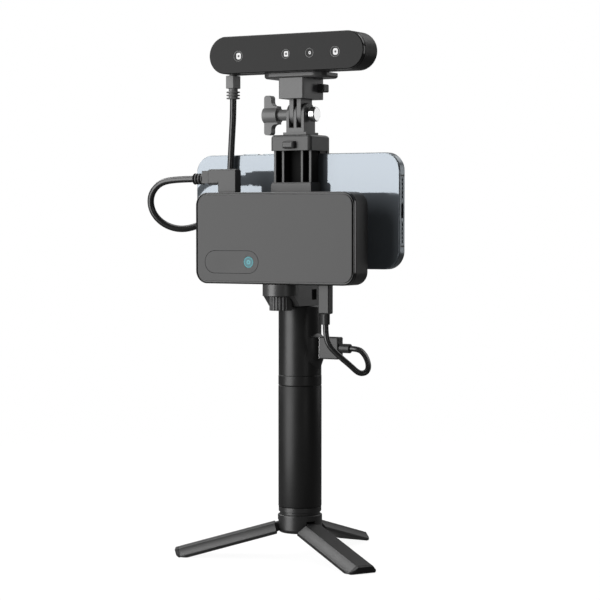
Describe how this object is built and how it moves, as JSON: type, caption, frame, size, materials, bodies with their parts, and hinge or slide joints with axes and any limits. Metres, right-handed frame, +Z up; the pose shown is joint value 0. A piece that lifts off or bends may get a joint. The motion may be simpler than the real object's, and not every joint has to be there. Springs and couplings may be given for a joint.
{
  "type": "three-d scanner",
  "caption": "Hand-held three-d scanner bar on a tilting clamp mount with phone, wireless bridge box, battery grip handle and folding mini tripod, joined by short cords.",
  "frame": {"origin": "on the floor under the handle's axis", "axes": "+Z up along the handle, -Y towards the front, where the scanner's lenses look, +X to the right of that view's left hand"},
  "size_m": [0.1685, 0.1242, 0.3251],
  "materials": {
    "rubber_black": "matte",
    "stand_plastic": "satin",
    "handle_plastic": "satin",
    "clamp_plastic": "matte",
    "head_plastic": "fine matte",
    "bridge_plastic": "fine matte",
    "light_teal": "gloss",
    "lens_glass": "gloss",
    "camera_black": "matte",
    "steel": "plain",
    "chrome_bolt": "polished",
    "board_green": "solder mask",
    "cell_wrap": "satin",
    "plug_plastic": "satin",
    "cord_rubber": "satin",
    "phone_metal": "brushed",
    "phone_back": "gloss",
    "phone_display": "gloss"
  },
  "bodies": {
    "handle": {"tripod_base": "stand_plastic", "leg_pins": "steel", "handle_end_ring": "stand_plastic", "handle_tube": "handle_plastic", "grip_sleeve": "rubber_black", "battery_cell": "cell_wrap", "handle_collar": "handle_plastic", "handle_housing": "handle_plastic", "power_board": "board_green", "usb_a_socket": "steel", "handle_stud": "steel", "top_bracket": "handle_plastic", "bridge_rear_shell": "bridge_plastic", "bridge_front_cover": "bridge_plastic", "badge_plate": "bridge_plastic", "status_light": "light_teal", "bridge_board": "board_green", "bridge_sockets": "steel", "bridge_screws": "steel", "clamp_lower_body": "clamp_plastic", "clamp_springs": "steel", "lower_pad": "rubber_black", "angled_plug": "plug_plastic", "power_plug": "plug_plastic", "usb_a_plug": "plug_plastic", "scan_cord_lower": "cord_rubber", "power_cord": "cord_rubber"},
    "front_left_leg": {"leg_front_left": "stand_plastic", "foot_front_left": "rubber_black"},
    "front_right_leg": {"leg_front_right": "stand_plastic", "foot_front_right": "rubber_black"},
    "rear_leg": {"leg_rear": "stand_plastic", "foot_rear": "rubber_black"},
    "bridge_screw": {"bridge_thumb_screw": "handle_plastic"},
    "jaw": {"jaw_column": "clamp_plastic", "upper_jaw": "clamp_plastic", "upper_pad": "rubber_black", "tilt_base": "clamp_plastic", "clamp_bolt": "chrome_bolt", "scan_cord_upper": "cord_rubber"},
    "front_tab": {"jaw_tab": "clamp_plastic"},
    "wing_knob": {"thumb_knob": "clamp_plastic"},
    "head": {"tilt_block": "clamp_plastic", "qr_plate": "clamp_plastic", "plate_screw": "steel", "head_rear_shell": "head_plastic", "head_front_panel": "head_plastic", "lens_windows": "lens_glass", "camera_modules": "camera_black", "head_board": "board_green", "head_socket": "steel", "head_plug": "plug_plastic"},
    "release": {"release_tab": "clamp_plastic"},
    "button": {"power_button": "handle_plastic"},
    "phone": {"phone_frame": "phone_metal", "phone_back_glass": "phone_back", "phone_screen_glass": "phone_display"},
    "volume_up": {"phone_volume_up_key": "phone_metal"},
    "volume_down": {"phone_volume_down_key": "phone_metal"},
    "side_key": {"phone_side_key": "phone_metal"}
  },
  "joints": [
    {"name": "front_left_leg_fold", "type": "hinge", "parent": "handle", "child": "front_left_leg", "pos_m": [-0.00857, -0.00495, 0.01965], "axis": [0.5, -0.866, 0], "range_deg": [0, 74]},
    {"name": "front_right_leg_fold", "type": "hinge", "parent": "handle", "child": "front_right_leg", "pos_m": [0.00857, -0.00495, 0.01965], "axis": [0.5, 0.866, 0], "range_deg": [0, 74]},
    {"name": "rear_leg_fold", "type": "hinge", "parent": "handle", "child": "rear_leg", "pos_m": [0, 0.0099, 0.01965], "axis": [-1, 0, 0], "range_deg": [0, 74]},
    {"name": "bridge_screw_turn", "type": "hinge", "parent": "handle", "child": "bridge_screw", "pos_m": [0, -0.0235, 0.16], "axis": [0, 0, 1], "continuous": true},
    {"name": "jaw_slide", "type": "slide", "parent": "handle", "child": "jaw", "axis": [0, 0, 1], "range_m": [0, 0.018], "stiffness_N_per_m": 400, "springref_m": -0.02, "deforming": ["clamp_springs", "scan_cord_lower"]},
    {"name": "front_tab_press", "type": "slide", "parent": "jaw", "child": "front_tab", "axis": [0, 1, 0], "range_m": [0, 0.0015], "stiffness_N_per_m": 800},
    {"name": "wing_knob_turn", "type": "hinge", "parent": "jaw", "child": "wing_knob", "pos_m": [0, 0.0009, 0.2763], "axis": [1, 0, 0], "continuous": true},
    {"name": "head_tilt", "type": "hinge", "parent": "jaw", "child": "head", "pos_m": [0, 0.0009, 0.2763], "axis": [1, 0, 0], "range_deg": [-45, 60], "deforming": ["scan_cord_upper"]},
    {"name": "release_press", "type": "slide", "parent": "head", "child": "release", "axis": [-1, 0, 0], "range_m": [0, 0.0016], "stiffness_N_per_m": 800},
    {"name": "button_press", "type": "slide", "parent": "handle", "child": "button", "axis": [0, -1, 0], "range_m": [0, 0.0005], "stiffness_N_per_m": 1500},
    {"name": "phone_slide", "type": "slide", "parent": "handle", "child": "phone", "axis": [-1, 0, 0], "range_m": [0, 0.09]},
    {"name": "volume_up_press", "type": "slide", "parent": "phone", "child": "volume_up", "axis": [0, 0, -1], "range_m": [0, 0.00025], "stiffness_N_per_m": 2000},
    {"name": "volume_down_press", "type": "slide", "parent": "phone", "child": "volume_down", "axis": [0, 0, -1], "range_m": [0, 0.00025], "stiffness_N_per_m": 2000},
    {"name": "side_key_press", "type": "slide", "parent": "phone", "child": "side_key", "axis": [0, 0, 1], "range_m": [0, 0.00025], "stiffness_N_per_m": 2000}
  ]
}
